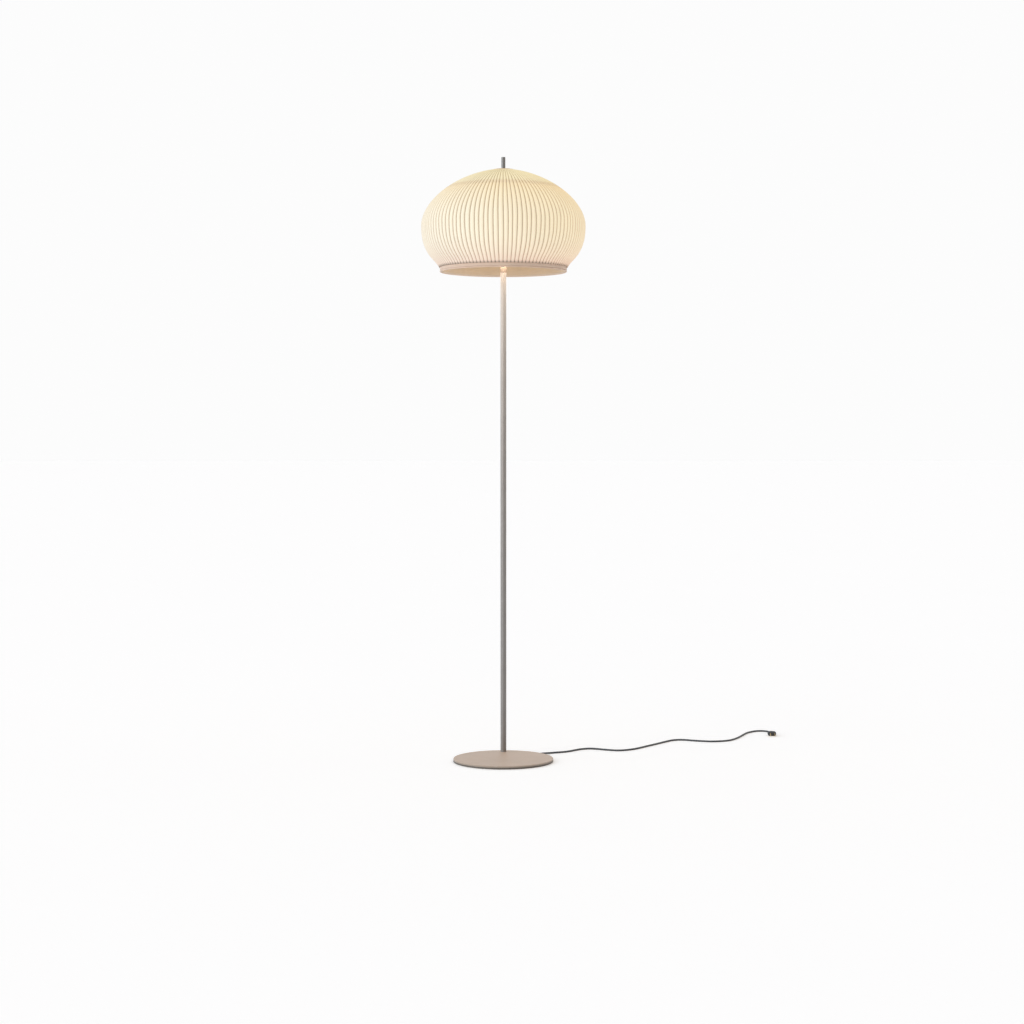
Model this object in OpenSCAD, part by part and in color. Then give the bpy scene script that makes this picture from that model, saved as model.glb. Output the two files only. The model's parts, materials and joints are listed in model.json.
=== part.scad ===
// Floor lamp with a pleated lantern shade.
// A round steel base carries a two-part pole. A harp on the pole's top goes round the
// bulb and holds the shade on a threaded stud, under a finial.
// Millimetres, +Z up. The origin is on the floor, on the pole's axis.

/* [Base] */
// Diameter of the base plate
base_d = 269; // [250:1:310]
// Distance from the pole's axis to the plate's rear edge
pole_edge = 25.4; // [25:0.1:60]
// Thickness of the base plate
base_t = 8; // [7:0.5:12]
// Rounding of the base plate's upper edge
base_round = 1.5; // [0.5:0.25:2.5]
// Thickness of the soft pad under the plate
pad_t = 1; // [0.8:0.1:1.6]
// How far the pad stays inside the plate's edge
pad_inset = 5; // [4:0.5:7]
// Diameter of the recess for the nut under the plate
recess_d = 36; // [30:1:44]
// Diameter of the washer
washer_d = 24; // [20:1:28]
// Thickness of the washer
washer_t = 1; // [0.8:0.1:1.4]
// Width of the nut across its flats
nut_af = 14; // [13:0.5:16]
// Thickness of the nut
nut_t = 2; // [1.6:0.1:2.4]

/* [Pole] */
// Outer diameter of the pole tube
pole_d = 16; // [14.5:0.5:20]
// Wall of the pole tube
pole_wall = 1.2; // [0.8:0.1:1.4]
// Length of the pole, both tubes together
pole_len = 1345; // [1100:1:1500]
// Share of the pole's length in the lower tube
pole_split = 0.5; // [0.4:0.02:0.6]
// Length of the joiner between the two tubes
coupler_len = 60; // [40:2:100]
// Bore of the joiner
coupler_bore = 8; // [7:0.5:9]
// Length of the threaded plug in each end of the pole
plug_len = 25; // [20:1:40]

/* [Hollow threads] */
// Outer diameter of the two hollow threaded rods
nipple_d = 10; // [9.5:0.1:10.5]
// Bore of the hollow rods
nipple_bore = 6.6; // [6:0.1:7]
// How far a rod reaches into the pole's end
nipple_reach = 22; // [16:1:28]
// How far the upper rod stands above the harp's saddle
nipple_top = 8; // [5:0.5:9]

/* [Lead] */
// Diameter of the mains lead
cord_d = 5; // [4.5:0.1:5.5]
// Direction in which the lead leaves the base, in degrees from +X
exit_angle = 44; // [40:1:50]
// Diameter of one insulated conductor
wire_d = 2; // [1.6:0.1:2.2]
// Length of the tapered boot outside the base
boot_len = 20; // [20:1:24]
// Wall of the boot at its root
boot_root_wall = 0.85; // [0.7:0.05:1]
// Wall of the boot at its tip
boot_tip_wall = 0.35; // [0.3:0.05:0.6]
// Distance inside the plate's edge at which the lead turns towards the pole
lead_in = 39; // [36:1:48]
// Radius of the lead's bend under the plate
lead_bend_r = 25; // [22:1:28]
// Distance of the lead's clamp from the pole's axis
clamp_r = 45; // [40:1:50]
// Thickness of the clamp's strap
strap_t = 0.6; // [0.4:0.1:0.7]

/* [Harp] */
// Height of the harp, from its saddle to the wire's centre at the top
harp_h = 233; // [215:1:260]
// Width of the harp between wire centres
harp_w = 110; // [100:2:130]
// Diameter of the harp's wire
harp_wire = 4; // [3.5:0.1:4.5]
// Distance between the harp's two feet
saddle_w = 56; // [52:1:60]
// Thickness of the saddle's strip
saddle_t = 2; // [1.6:0.1:2.6]
// Height of the saddle's posts
post_h = 18; // [16:1:22]
// Lean of the harp's sides where they spread, in degrees
harp_lean = 25; // [20:1:35]
// Length of a locking sleeve
sleeve_len = 16; // [12:1:18]
// Wall of a locking sleeve
sleeve_wall = 1.6; // [1.2:0.1:2]
// Diameter of the stud's shoulder
stud_d = 12; // [10.5:0.5:14]
// Height of the stud's shoulder above the harp's wire
stud_step = 4; // [3:0.5:8]
// Diameter of the stud's thread
stud_thread = 6.35; // [6:0.05:6.6]
// Length of the stud's thread
stud_len = 14; // [12:1:16]

/* [Lamp holder] */
// Diameter of the lamp holder's shell
shell_d = 33; // [33:0.5:35]
// Wall of the shell
shell_wall = 0.6; // [0.4:0.1:0.8]
// Height of the lamp holder
holder_h = 60; // [58:1:64]
// Diameter of the turn switch's shaft
shaft_d = 4; // [3:0.5:5]
// Diameter of the turn switch's knob
knob_d = 11; // [9:0.5:14]
// Length of the knob
knob_len = 14; // [10:1:18]

/* [Bulb] */
// Diameter of the bulb's screw cap
cap_d = 26; // [25.6:0.1:26.2]
// Largest diameter of the bulb
bulb_d = 60; // [54:1:64]
// Length of the bulb
bulb_len = 110; // [104:1:118]

/* [Shade] */
// Largest diameter of the shade, over the pleats
shade_d = 447; // [400:1:480]
// Height of the shade's rounded top above its widest line
crown_h = 152.6; // [140:0.2:170]
// Height of the full curve below the widest line
belly_h = 146.2; // [136:0.1:165]
// Depth of the shade below its widest line, down to the band
belly_cut = 107; // [90:1:115]
// Number of pleats
pleats = 108; // [96:4:112]
// Depth of a pleat as a share of its distance from the axis
pleat_share = 0.018; // [0.01:0.001:0.022]
// Share of that depth left at the two hems
hem_share = 0.55; // [0.4:0.05:0.7]
// Thickness of the fabric with its backing
fabric_t = 0.9; // [0.7:0.05:1.1]
// Height of the lower band
band_h = 19.4; // [12:0.2:30]
// Wall of the lower band
band_wall = 2; // [1.4:0.1:2.4]
// Diameter of the disc that carries the shade
disc_d = 51.2; // [40:0.4:60]
// Thickness of that disc
disc_t = 2; // [1.5:0.1:3]
// Number of wires in the frame
struts = 8; // [6:1:12]
// Thickness of the frame's wires
strut_d = 2.4; // [2:0.1:3]
// Thickness of the frame's hoop
hoop_d = 3; // [2:0.1:4]

/* [Finial] */
// Diameter of the finial
finial_d = 11; // [10:0.5:16]
// Length of the finial
finial_len = 35; // [26:1:45]

/* [Plug] */
// Width of the plug's body
plug_w = 24; // [22:1:28]
// Thickness of the plug's body
plug_t = 13; // [12:1:16]
// Length of the plug's body in front of its neck
plug_body_len = 24; // [20:1:30]
// Length of the plug's neck
neck_len = 14; // [10:1:20]
// Length of the blades
blade_len = 17; // [15:1:19]
// Distance between the blades
blade_gap = 12.7; // [12.2:0.1:13.2]

/* [Hidden] */
$fn = 96;

seat = 0.05;         // gap between pieces that are fixed to each other
free = 0.3;          // gap between pieces that move apart
turn_fit = 0.06;     // radial gap of the switch's shaft in its bearing
cut = 1;             // how far a cutting shape reaches past what it cuts

// Base, from the floor up
base_r = base_d / 2;
base_y = pole_edge - base_r;
plate_z = pad_t;
plate_top = plate_z + base_t;
wire_clear = 0.1;    // least room round a conductor
nut_z = plate_z + wire_d + 4 * wire_clear;
washer_z = nut_z + nut_t;
recess_top = washer_z + washer_t;
nipple_hole = nipple_d + 4 * seat;

// Lead through the base: its inner channel starts at the pole's axis, the outer one runs
// from the plate's centre through the edge, and the lead bends where the two lines meet
jacket_r = cord_d / 2;
boot_bore_r = jacket_r + seat;
boot_neck_wall = 0.65;
boot_neck_r = boot_bore_r + boot_neck_wall;
boot_neck_len = 8;
exit_z = plate_z + seat + max(boot_neck_r, boot_bore_r + strap_t);
exit_dir = [cos(exit_angle), sin(exit_angle), 0];
corner = [0, base_y, 0] + (base_r - lead_in) * exit_dir;
inner_angle = atan2(corner[1], corner[0]);
inner_dir = [cos(inner_angle), sin(inner_angle), 0];
lead_turn = exit_angle - inner_angle;
bend_reach = lead_bend_r * tan(lead_turn / 2);
bend_u = norm(corner) - bend_reach;
bend_centre = bend_u * inner_dir + lead_bend_r * [-inner_dir[1], inner_dir[0], 0];
bend_end_u = base_r - lead_in + bend_reach;
channel_room = 0.25;
channel_half = jacket_r + channel_room;
channel_overlap = 3;
bend_overlap = 2;
bend_steps = 12;
channel_u = recess_d / 2 - channel_overlap;
bend_mid = (inner_angle + exit_angle) / 2 - 90;
pocket_r = 2 * lead_bend_r * sin(lead_turn / 4) + channel_half;
boot_lip = 0.4;
boot_flange_r = boot_neck_r + boot_lip;
boot_flange_t = 1.5;
boot_tip_u = base_r + seat + boot_flange_t + boot_len;
clamp_len = 8;
clamp_w = 23;
clamp_room = 1;
clamp_screw_gap = 16;
screw_d = 3;
screw_head_d = 5.5;
screw_head_t = 1.5;
screw_bite = 3;
jacket_end_u = clamp_r - clamp_len;
wire_gap = wire_d + 3 * wire_clear;
wire_low_z = plate_z + wire_clear + wire_d / 2;
wire_bend_r = 2 * wire_d;
wire_shift = 0.3 * wire_d;
wire_dip = 2;        // how far inside the recess's wall the conductors reach the floor of the plate

// Pole
pole_bore_r = pole_d / 2 - pole_wall;
pole_top = plate_top + pole_len;
split_z = plate_top + pole_len * pole_split;
head_z = pole_top - plug_len;

// Harp, its saddle and its sleeves
saddle_top = pole_top + saddle_t;
foot_x = saddle_w / 2;
saddle_strip_w = 14;
post_d = harp_wire;
collar_t = 1.5;
sleeve_bore_r = harp_wire / 2 + free;
sleeve_r = sleeve_bore_r + sleeve_wall;
sleeve_z = saddle_top + post_h - sleeve_len / 2;
sleeve_bead_w = 0.5;
sleeve_bead_h = 3;
leg_top = saddle_top + post_h + sleeve_len * 1.75;
bend_low_r = 30;
bend_mid_r = 40;
top_flat = stud_d / 2 + 2;
side_x = harp_w / 2;
top_bend_r = side_x - top_flat;
lean_out = side_x - foot_x - (bend_low_r + bend_mid_r) * (1 - cos(harp_lean));
side_z = leg_top + (bend_low_r + bend_mid_r) * sin(harp_lean) + lean_out / tan(harp_lean);
harp_top = saddle_top + harp_h;
side_top = harp_top - top_bend_r;
stud_shoulder = harp_top + harp_wire / 2 + stud_step;
stud_grip = 1.5;
stud_foot = harp_top - harp_wire / 2 - stud_grip;

// Lamp holder
holder_cap_h = 16;
cup_neck_wall = 3;
cup_neck_h = 3;
cup_flare = 1;
cup_cone_h = 9;
cap_skin = 0.8;
cup_inset = 0.75 * cap_skin;
shell_r = shell_d / 2;
shell_rise = 11;
shell_z = saddle_top + shell_rise;
holder_top = saddle_top + holder_h;
liner_r = shell_r - shell_wall - 2 * seat;
liner_wall = 0.9;
liner_step = 1;
body_r = liner_r - liner_wall - 2 * seat;
body_z = shell_z + liner_step;
body_h = 19;
body_top = body_z + body_h;
thread_bore_r = cap_d / 2 + free;
thread_wall = 0.6;
thread_drop = 4;     // how far the threaded sleeve ends below the shell's rim
thread_len = holder_top - thread_drop - body_top;
contact_d = 8;
contact_t = 1.2;
terminal_d = 6;
terminal_t = 1.5;
terminal_rise = 7;
terminal_z = body_z + terminal_rise;
shaft_rise = 10;
shaft_z = body_z + shaft_rise;
shaft_in = 5;
shaft_room = 0.5;
shaft_hole_r = shaft_d / 2 + shaft_room;
shaft_press = 0.01;  // radial gap of the shaft in its knob
knob_gap = 5;
knob_near = shell_r + knob_gap;
knob_far = knob_near + knob_len;
knob_rim = 3;
flutes = 8;
flute_r = 1.4;
flute_out = 0.6;     // distance of a flute's centre from the knob's surface

// Bulb, from its contact up
bulb_z = body_top + contact_t;
bulb_contact_r = 4.5;
bulb_contact_t = 2;
contact_taper = 1;
insulator_h = 4;
insulator_step = 1.5;
bulb_cap_z = bulb_z + bulb_contact_t + insulator_h;
bulb_cap_h = 21.8;
housing_z = bulb_cap_z + bulb_cap_h;
bulb_r = bulb_d / 2;
bulb_top = bulb_z + bulb_len;
globe_z = bulb_top - bulb_r;
glass_z = globe_z - 0.52 * bulb_r;
thread_turns = 5;
thread_pitch = 3.6;
thread_depth = 0.7;
thread_start = 3;
housing_lip = 0.4;   // how far the housing stands out over the screw cap
housing_steps = 10;
housing_bend = 1.4;

// Shade: crown and belly are superellipses. An exponent of 2 would make an ellipse.
shade_r = shade_d / 2;
disc_z = stud_shoulder;
disc_top = disc_z + disc_t;
disc_r = disc_d / 2;
hem_gap = 0.4;
hem_r = disc_r + hem_gap;
crown_p = 7 / 4;
crown_q = 9 / 5;
belly_p = 5 / 2;
crown_a = acos(pow(hem_r / shade_r, crown_p / 2));
belly_a = asin(pow(belly_cut / belly_h, belly_p / 2));
crown_steps = 8;
belly_steps = 4;
rings = crown_steps + belly_steps;
hem_rise = crown_h * pow(sin(crown_a), 2 / crown_q);
widest_z = disc_top + fabric_t - hem_rise;
band_top = widest_z - belly_cut;
band_z = band_top - band_h;
strut_gap = 0.12;
strut_foot = 12;
hoop_ring = 3;

// Point i of the shade's outer curve as [radius, height]: 0 is the upper hem
function curve(i) = i <= crown_steps
    ? crown_point(crown_a * (1 - i / crown_steps))
    : belly_point(belly_a * (i - crown_steps) / belly_steps);
function crown_point(a) = [
    shade_r * pow(cos(a), 2 / crown_p),
    widest_z + crown_h * pow(sin(a), 2 / crown_q)];
function belly_point(a) = [
    shade_r * pow(cos(a), 2 / belly_p),
    widest_z - belly_h * pow(sin(a), 2 / belly_p)];
// Outward normal of the curve at point i
function normal(i) = turned(curve(min(i + 1, rings)) - curve(max(i - 1, 0)));
function turned(v) = [-v[1], v[0]] / norm(v);
// Depth of the pleats at point i
function pleat(i) = pleat_share * curve(i)[0] * (i == 0 || i == rings ? hem_share : 1);
// The curve moved inwards by d, level at the lower hem
function inset(i, d) = i == rings
    ? curve(i) - [d / normal(i)[0], 0]
    : curve(i) - d * normal(i);

hem_in_r = inset(rings, pleat(rings) + fabric_t)[0];
band_step = 0.6;     // how far the band stands inside the cloth's lower hem
band_in_r = hem_in_r - band_step;

// Finial
finial_bore_r = stud_thread / 2 + free;
finial_bore_h = stud_len - disc_t + 2;

// Mains lead on the floor, from the boot's tip to the plug. Each point is [x, y, z].
floor_z = cord_d / 2 + 0.1;
boot_tip = boot_tip_u * exit_dir + [0, base_y, exit_z];
plug_z = plug_t / 2;
route = [
    boot_tip,
    boot_tip + 11 * exit_dir - [0, 0, 0.6],
    [141, 22, floor_z], [176, 40, floor_z], [206, 73, floor_z], [221, 86, floor_z],
    [242, 92.5, floor_z], [262, 86, floor_z], [281, 74.5, floor_z], [321, 60, floor_z],
    [363, 84, floor_z], [402, 134, floor_z], [441, 187, floor_z], [472, 231, floor_z],
    [488, 246.5, floor_z], [507, 252.5, floor_z], [526, 247.5, floor_z], [545, 237, floor_z],
    [594, 222, floor_z], [643, 238, floor_z], [674, 285, floor_z], [698, 344, floor_z],
    [713, 381, floor_z], [722, 394.8, floor_z], [730, 405.5, floor_z],
    [738.5, 414.6, floor_z], [748.6, 421.1, floor_z], [760.1, 423, floor_z],
    [771, 419.2, floor_z], [779, 410.8, floor_z], [782.8, 399.3, floor_z],
    [783.4, 387.5, 4.1], [783.2, 375.5, plug_z]];
route_steps = 4;
plug_at = route[len(route) - 1];
plug_from = route[len(route) - 2];
plug_turn = atan2(plug_at[1] - plug_from[1], plug_at[0] - plug_from[0]);
neck_back_r = 3.4;
neck_front_r = 4.2;
plug_back_w = 12;
plug_back_t = 9;
plug_round = 3;
plug_taper = 1;
blade_t = 1.5;
blade_w = 6.35;

// A smooth curve through the points p, with n steps in each stretch
function smooth_route(p, n) = concat(
    [for (i = [0 : len(p) - 2]) for (s = [0 : n - 1]) spline(p, i, s / n)],
    [p[len(p) - 1]]);
function spline(p, i, t) = spline_at(
    i == 0 ? 2 * p[0] - p[1] : p[i - 1], p[i], p[i + 1],
    i + 2 < len(p) ? p[i + 2] : 2 * p[i + 1] - p[i], t);
function spline_at(a, b, c, d, t) = 0.5 * (2 * b + (c - a) * t
    + (2 * a - 5 * b + 4 * c - d) * t * t + (3 * b - a - 3 * c + d) * t * t * t);
function unit(v) = v / norm(v);
function tangent(p, i) = unit(p[min(i + 1, len(p) - 1)] - p[max(i - 1, 0)]);
// Direction across the tube at point i: level, or the fixed one that is given
function across(p, i, side) = is_undef(side) ? unit(cross([0, 0, 1], tangent(p, i))) : side;
function tube_ring(p, i, r, sides, side) = [for (k = [0 : sides - 1])
    p[i] + r * cos(360 * (k + 0.5) / sides) * across(p, i, side)
    + r * sin(360 * (k + 0.5) / sides) * cross(tangent(p, i), across(p, i, side))];

// A round tube without a bore along the points p
module tube(p, d, sides, side = undef) {
    last = len(p) - 1;
    points = [for (i = [0 : last]) each tube_ring(p, i, d / 2, sides, side)];
    walls = [for (i = [0 : last - 1]) for (k = [0 : sides - 1])
        let (n = (k + 1) % sides, a = i * sides, b = a + sides)
        each [[a + k, b + k, b + n], [a + k, b + n, a + n]]];
    ends = [
        [for (k = [0 : sides - 1]) k],
        [for (k = [sides - 1 : -1 : 0]) last * sides + k]];
    polyhedron(points, concat(walls, ends));
}

// A ring of height h between two radii
module pipe(r, bore, h) {
    difference() {
        cylinder(r = r, h = h);
        translate([0, 0, -cut]) cylinder(r = bore, h = h + 2 * cut);
    }
}

// Puts a shape into the inner channel's frame: X outwards from the pole's axis
module along_inner() {
    rotate([0, 0, inner_angle]) children();
}

// Puts a shape into the outer channel's frame: X outwards from the plate's centre
module along_outer() {
    translate([0, base_y, 0]) rotate([0, 0, exit_angle]) children();
}

// A cylinder along the lead, from u0 to u1 in a channel's frame
module lead_rod(r, u0, u1) {
    translate([u0, 0, exit_z]) rotate([0, 90, 0]) cylinder(r = r, h = u1 - u0);
}

// A milled slot round the lead, open below
module lead_slot(half, u0, u1) {
    translate([u0, -half, -cut]) cube([u1 - u0, 2 * half, exit_z + half + cut]);
}

module at_clamp_screws() {
    along_inner() for (side = [-1, 1])
        translate([clamp_r, side * clamp_screw_gap / 2, 0]) children();
}

module base_plate() {
    color([0.72, 0.67, 0.62]) difference() {
        translate([0, base_y, plate_z]) rotate_extrude($fn = 180) {
            square([base_r, base_t - base_round]);
            square([base_r - base_round, base_t]);
            translate([base_r - base_round, base_t - base_round]) circle(base_round, $fn = 48);
        }
        translate([0, 0, -cut]) cylinder(d = nipple_hole, h = plate_top + 2 * cut);
        translate([0, 0, -cut]) cylinder(d = recess_d, h = recess_top + cut);
        along_inner() lead_slot(channel_half, channel_u, bend_u + channel_overlap);
        translate(bend_centre + lead_bend_r * [cos(bend_mid), sin(bend_mid), 0] - [0, 0, cut])
            cylinder(r = pocket_r, h = exit_z + jacket_r + seat + cut);
        along_outer() lead_slot(channel_half, bend_end_u - channel_overlap, base_r);
        along_outer() lead_slot(boot_neck_r + seat, base_r - boot_neck_len - seat, base_r + cut);
        along_inner() translate([clamp_r - clamp_len / 2 - clamp_room, -clamp_w / 2 - clamp_room, -cut])
            cube([clamp_len + 2 * clamp_room, clamp_w + 2 * clamp_room, exit_z + cut]);
        at_clamp_screws() cylinder(d = screw_d + 2 * seat, h = exit_z + screw_bite + seat);
    }
}

module base_pad() {
    color([0.16, 0.16, 0.16]) translate([0, base_y, 0])
        cylinder(r = base_r - pad_inset, h = pad_t, $fn = 180);
}

module base_washer() {
    color("silver") translate([0, 0, washer_z]) pipe(washer_d / 2, nipple_hole / 2, washer_t);
}

module base_nut() {
    color("goldenrod") translate([0, 0, nut_z]) difference() {
        cylinder(d = nut_af / cos(30), h = nut_t, $fn = 6);
        translate([0, 0, -cut]) cylinder(r = nipple_d / 2 + seat, h = nut_t + 2 * cut);
    }
}

module base_nipple() {
    color("goldenrod") translate([0, 0, nut_z])
        pipe(nipple_d / 2, nipple_bore / 2, plate_top + nipple_reach - nut_z);
}

// Saddle clamp under the lead's jacket, with an ear on each side
module cord_clamp() {
    strap_r = jacket_r + seat + strap_t;
    u0 = clamp_r - clamp_len / 2;
    color("silver") difference() {
        along_inner() {
            difference() {
                lead_rod(strap_r, u0, u0 + clamp_len);
                translate([u0 - cut, -strap_r - cut, exit_z])
                    cube([clamp_len + 2 * cut, 2 * strap_r + 2 * cut, strap_r + cut]);
            }
            translate([u0, -clamp_w / 2, exit_z - strap_t]) cube([clamp_len, clamp_w, strap_t]);
        }
        along_inner() lead_rod(jacket_r + seat, u0 - cut, u0 + clamp_len + cut);
        at_clamp_screws() cylinder(d = screw_d + 2 * seat, h = exit_z + cut);
    }
}

module clamp_screws() {
    color("gray") at_clamp_screws() {
        translate([0, 0, exit_z - strap_t - screw_head_t])
            cylinder(d = screw_head_d, h = screw_head_t);
        translate([0, 0, exit_z - strap_t]) cylinder(d = screw_d, h = strap_t + screw_bite);
    }
}

// Strain relief: a neck in the plate, a flange on its edge and a tapered boot
module cord_boot() {
    flange_u = base_r + seat;
    color([0.2, 0.2, 0.2]) along_outer() difference() {
        union() {
            lead_rod(boot_neck_r, base_r - boot_neck_len, flange_u + boot_flange_t / 2);
            lead_rod(boot_flange_r, flange_u, flange_u + boot_flange_t);
            translate([flange_u + boot_flange_t, 0, exit_z]) rotate([0, 90, 0])
                cylinder(r1 = boot_bore_r + boot_root_wall, r2 = boot_bore_r + boot_tip_wall,
                    h = boot_len);
        }
        lead_rod(boot_bore_r, base_r - boot_neck_len - cut, boot_tip_u + cut);
    }
}

// The lead under the plate: straight in both channels, with a bend between them
module lead_jacket() {
    bend = [for (k = [0 : bend_steps]) let (a = inner_angle - 90 + lead_turn * k / bend_steps)
        bend_centre + [lead_bend_r * cos(a), lead_bend_r * sin(a), exit_z]];
    way = concat([(bend_u - bend_overlap) * inner_dir + [0, 0, exit_z]], bend,
        [(bend_end_u + bend_overlap) * exit_dir + [0, base_y, exit_z]]);
    color([0.25, 0.25, 0.25]) {
        along_inner() lead_rod(jacket_r, jacket_end_u, bend_u);
        tube(way, cord_d - seat, 16);
        along_outer() lead_rod(jacket_r, bend_end_u, boot_tip_u);
    }
}

// The two conductors: under the nut, round a bend and up the pole to the lamp holder
module lead_wires() {
    bend = [for (a = [0 : 15 : 90])
        [wire_bend_r * (1 - sin(a)) - wire_shift, wire_low_z + wire_bend_r * (1 - cos(a))]];
    way = concat([[jacket_end_u - 2 * seat, exit_z], [recess_d / 2 - wire_dip, wire_low_z]], bend,
        [[-wire_shift, body_z]]);
    color("firebrick") along_inner() for (side = [-1, 1])
        tube([for (w = way) [w[0], side * wire_gap / 2, w[1]]], wire_d, 8, [0, 1, 0]);
}

module pole_foot() {
    color("dimgray") translate([0, 0, plate_top])
        pipe(pole_bore_r - seat, nipple_d / 2 + seat, plug_len);
}

module pole_lower() {
    color([0.66, 0.64, 0.62]) translate([0, 0, plate_top])
        pipe(pole_d / 2, pole_bore_r, split_z - plate_top);
}

module pole_coupler() {
    color("dimgray") translate([0, 0, split_z - coupler_len / 2])
        pipe(pole_bore_r - seat, coupler_bore / 2, coupler_len);
}

module pole_upper() {
    color([0.66, 0.64, 0.62]) translate([0, 0, split_z])
        pipe(pole_d / 2, pole_bore_r, pole_top - split_z);
}

module pole_head() {
    color("dimgray") translate([0, 0, head_z])
        pipe(pole_bore_r - seat, nipple_d / 2 + seat, plug_len);
}

// Strip with a round end under each post, and a collar that stops each sleeve
module harp_saddle() {
    color("darkgoldenrod") difference() {
        union() {
            translate([-foot_x, -saddle_strip_w / 2, pole_top])
                cube([saddle_w, saddle_strip_w, saddle_t]);
            for (side = [-1, 1]) translate([side * foot_x, 0, 0]) {
                translate([0, 0, pole_top]) cylinder(d = saddle_strip_w, h = saddle_t);
                translate([0, 0, pole_top]) cylinder(d = post_d, h = saddle_t + post_h);
                translate([0, 0, sleeve_z - seat - collar_t]) cylinder(r = sleeve_r, h = collar_t);
            }
        }
        translate([0, 0, pole_top - cut]) cylinder(d = nipple_hole, h = saddle_t + 2 * cut);
    }
}

module holder_nipple() {
    low = pole_top - nipple_reach;
    color("goldenrod") translate([0, 0, low])
        pipe(nipple_d / 2, nipple_bore / 2, saddle_top + nipple_top - low);
}

// Points [x, z] on an arc of n steps round a centre
function arc(x, z, r, from, to, n) = [for (k = [0 : n])
    let (a = from + (to - from) * k / n) [x + r * cos(a), z + r * sin(a)]];

// Straight legs under the sleeves, then one bent wire that spreads, rises and closes at the top
module harp() {
    leg_overlap = 2;
    half = concat([[foot_x, leg_top - leg_overlap]],
        arc(foot_x + bend_low_r, leg_top, bend_low_r, 180, 180 - harp_lean, 3),
        arc(side_x - bend_mid_r, side_z, bend_mid_r, -harp_lean, 0, 3),
        arc(top_flat, side_top, top_bend_r, 0, 90, 9));
    way = concat([for (p = half) [p[0], 0, p[1]]],
        [for (i = [len(half) - 1 : -1 : 0]) [-half[i][0], 0, half[i][1]]]);
    color("darkgoldenrod") {
        for (side = [-1, 1]) translate([side * foot_x, 0, saddle_top + post_h])
            cylinder(d = harp_wire, h = leg_top - saddle_top - post_h);
        tube(way, harp_wire - seat, 12, [0, 1, 0]);
    }
}

// A sleeve with a bead round its foot
module sleeve(x) {
    color("goldenrod") translate([x, 0, sleeve_z]) difference() {
        union() {
            cylinder(r = sleeve_r - sleeve_bead_w, h = sleeve_len);
            cylinder(r = sleeve_r, h = sleeve_bead_h);
        }
        translate([0, 0, -cut]) cylinder(r = sleeve_bore_r, h = sleeve_len + 2 * cut);
    }
}

module harp_sleeve_left() {
    sleeve(-foot_x);
}

module harp_sleeve_right() {
    sleeve(foot_x);
}

module harp_stud() {
    color("darkgoldenrod") difference() {
        union() {
            translate([0, 0, stud_foot]) cylinder(d = stud_d, h = stud_shoulder - stud_foot);
            translate([0, 0, stud_foot]) cylinder(d = stud_thread, h = stud_shoulder + stud_len - stud_foot);
        }
        translate([-stud_d, 0, harp_top]) rotate([0, 90, 0])
            cylinder(r = harp_wire / 2 + seat, h = 2 * stud_d);
    }
}

// Cup that screws onto the upper rod and takes the shell's lower edge
module holder_cap() {
    bowl_r = shell_r + seat;
    cup_r = bowl_r + cap_skin;
    neck_r = nipple_d / 2 + cup_neck_wall;
    color("darkgoldenrod") translate([0, 0, saddle_top]) rotate_extrude() {
        difference() {
            polygon([[0, 0], [neck_r, 0], [neck_r + cup_flare, cup_neck_h], [cup_r, cup_cone_h],
                [cup_r, holder_cap_h], [0, holder_cap_h]]);
            polygon([[0, cap_skin], [neck_r - cap_skin, cap_skin],
                [neck_r + cup_flare - cup_inset, cup_neck_h + cup_inset],
                [bowl_r, cup_cone_h + cup_inset], [bowl_r, holder_cap_h + cut],
                [0, holder_cap_h + cut]]);
            translate([0, -cut]) square([nipple_hole / 2, holder_cap_h]);
        }
    }
}

// A cylinder that points towards -Y, from y0 to y1
module side_rod(r, y0, y1, z) {
    translate([0, -y0, z]) rotate([90, 0, 0]) cylinder(r = r, h = y1 - y0);
}

module holder_body() {
    color("ivory") difference() {
        translate([0, 0, body_z]) cylinder(r = body_r, h = body_h);
        side_rod(shaft_d / 2 + turn_fit, shaft_in - free, body_r + cut, shaft_z);
        for (side = [0, 180]) rotate([0, 0, side])
            translate([body_r - terminal_t - seat, 0, terminal_z]) rotate([0, 90, 0])
                cylinder(d = terminal_d + 2 * seat, h = terminal_t + cut);
    }
}

module holder_terminals() {
    color("silver") for (side = [0, 180]) rotate([0, 0, side])
        translate([body_r - terminal_t, 0, terminal_z]) rotate([0, 90, 0])
            cylinder(d = terminal_d, h = terminal_t - free);
}

module holder_thread() {
    color("goldenrod") translate([0, 0, body_top])
        pipe(thread_bore_r + thread_wall, thread_bore_r, thread_len);
}

module holder_contact() {
    color("goldenrod") translate([0, 0, body_top]) cylinder(d = contact_d, h = contact_t);
}

module holder_liner() {
    color("tan") difference() {
        translate([0, 0, shell_z + liner_step])
            pipe(liner_r, liner_r - liner_wall, holder_top - 2 * liner_step - shell_z);
        side_rod(shaft_hole_r, body_r - cut, shell_r + cut, shaft_z);
    }
}

module holder_shell() {
    color("darkgoldenrod") difference() {
        translate([0, 0, shell_z]) pipe(shell_r, shell_r - shell_wall, holder_top - shell_z);
        side_rod(shaft_hole_r, body_r - cut, shell_r + cut, shaft_z);
    }
}

module switch_shaft() {
    color("goldenrod") side_rod(shaft_d / 2, shaft_in, knob_near + knob_len / 2, shaft_z);
}

// Knob with eight flutes and a blind bore for the shaft
module switch_knob() {
    color([0.1, 0.1, 0.1]) difference() {
        side_rod(knob_d / 2, knob_near, knob_far, shaft_z);
        side_rod(shaft_d / 2 + shaft_press, knob_near - cut, knob_near + knob_len / 2, shaft_z);
        for (k = [0 : flutes - 1]) translate([0, -knob_near - knob_rim, shaft_z])
            rotate([90, 360 * k / flutes, 0]) translate([knob_d / 2 + flute_out, 0, 0])
                cylinder(r = flute_r, h = knob_len);
    }
}

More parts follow.
